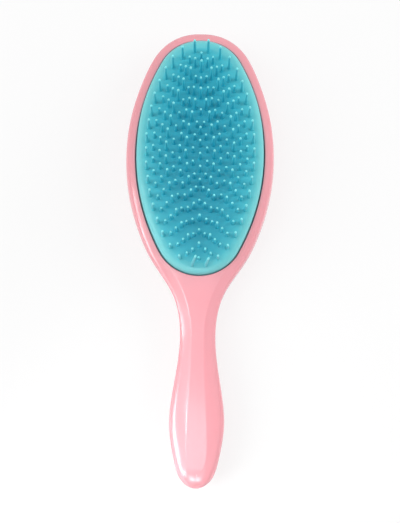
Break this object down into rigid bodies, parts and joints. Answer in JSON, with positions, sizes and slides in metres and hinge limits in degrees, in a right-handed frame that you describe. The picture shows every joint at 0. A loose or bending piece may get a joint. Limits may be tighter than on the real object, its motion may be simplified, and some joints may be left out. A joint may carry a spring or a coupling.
{
  "type": "detangling hair brush",
  "caption": "Oval paddle hair brush with a two-shell handle and a cushioned pad of flexible teeth in nested rings of three heights.",
  "frame": {"origin": "bottom centre of the brush lying on its back, halfway along its length", "axes": "+Y along the brush towards the tip of the head, +Z out of the pad through the teeth, X across the brush"},
  "size_m": [0.0726, 0.226, 0.0369],
  "materials": {
    "shell_plastic": "glossy pink moulding",
    "inner_plastic": "plain moulding, hidden inside",
    "pad_elastomer": "satin turquoise elastomer",
    "tooth_elastomer": "satin turquoise elastomer"
  },
  "bodies": {
    "handle": {"front_shell": "shell_plastic", "back_shell": "shell_plastic", "pad_support": "inner_plastic"},
    "pad": {"bristle_pad": "pad_elastomer", "medium_teeth_centre_row": "tooth_elastomer", "short_teeth_inner_ring": "tooth_elastomer", "long_teeth_inner_ring": "tooth_elastomer", "medium_teeth_inner_ring": "tooth_elastomer", "short_teeth_middle_ring": "tooth_elastomer", "long_teeth_middle_ring": "tooth_elastomer", "medium_teeth_outer_ring": "tooth_elastomer", "short_teeth_outer_ring": "tooth_elastomer", "long_teeth_edge_ring": "tooth_elastomer"}
  },
  "joints": [
    {"name": "pad_press", "type": "slide", "parent": "handle", "child": "pad", "axis": [0, 0, -1], "range_m": [0, 0.0015], "stiffness_N_per_m": 4000}
  ]
}
